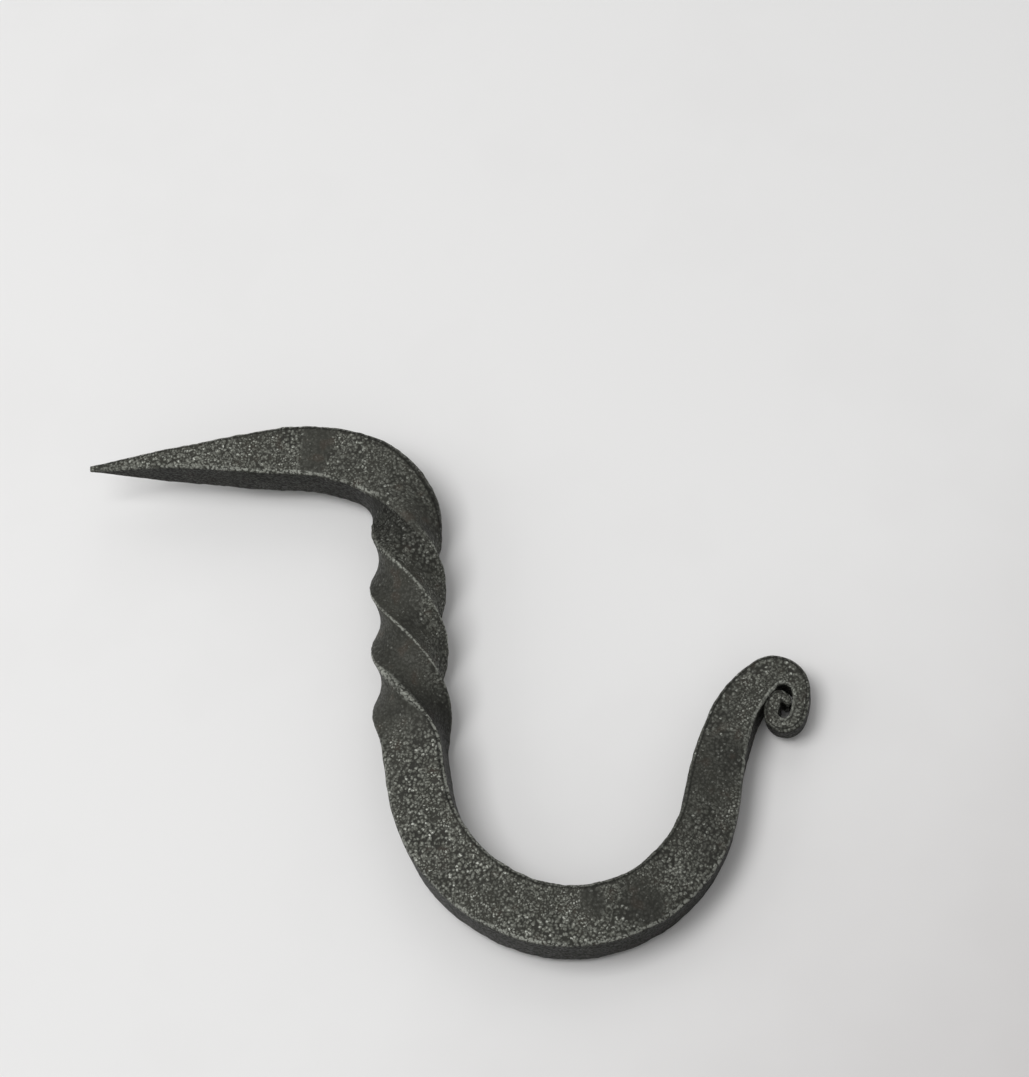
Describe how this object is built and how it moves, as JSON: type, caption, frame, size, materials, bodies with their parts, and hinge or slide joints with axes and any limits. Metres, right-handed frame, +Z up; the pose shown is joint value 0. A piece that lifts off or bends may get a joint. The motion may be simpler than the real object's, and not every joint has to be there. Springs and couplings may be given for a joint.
{
  "type": "spike hook",
  "caption": "Forged steel hook: a pointed spike to drive into timber, a twisted shank, and a round open bowl that ends in a thin curled scroll.",
  "frame": {"origin": "on the surface the hook lies on, under the middle of its box", "axes": "+X along the spike from its point towards the bowl, +Y up the shank from the bowl towards the spike, +Z up; the hook lies flat as it comes to rest, on the corners of its twist and the far side of its bowl"},
  "size_m": [0.1524, 0.1194, 0.0164],
  "materials": {
    "forged_steel": "hot-forged, dark matt oxide scale, fine pitting, edges worn a little lighter"
  },
  "bodies": {
    "root": {"hook": "forged_steel"}
  },
  "joints": []
}
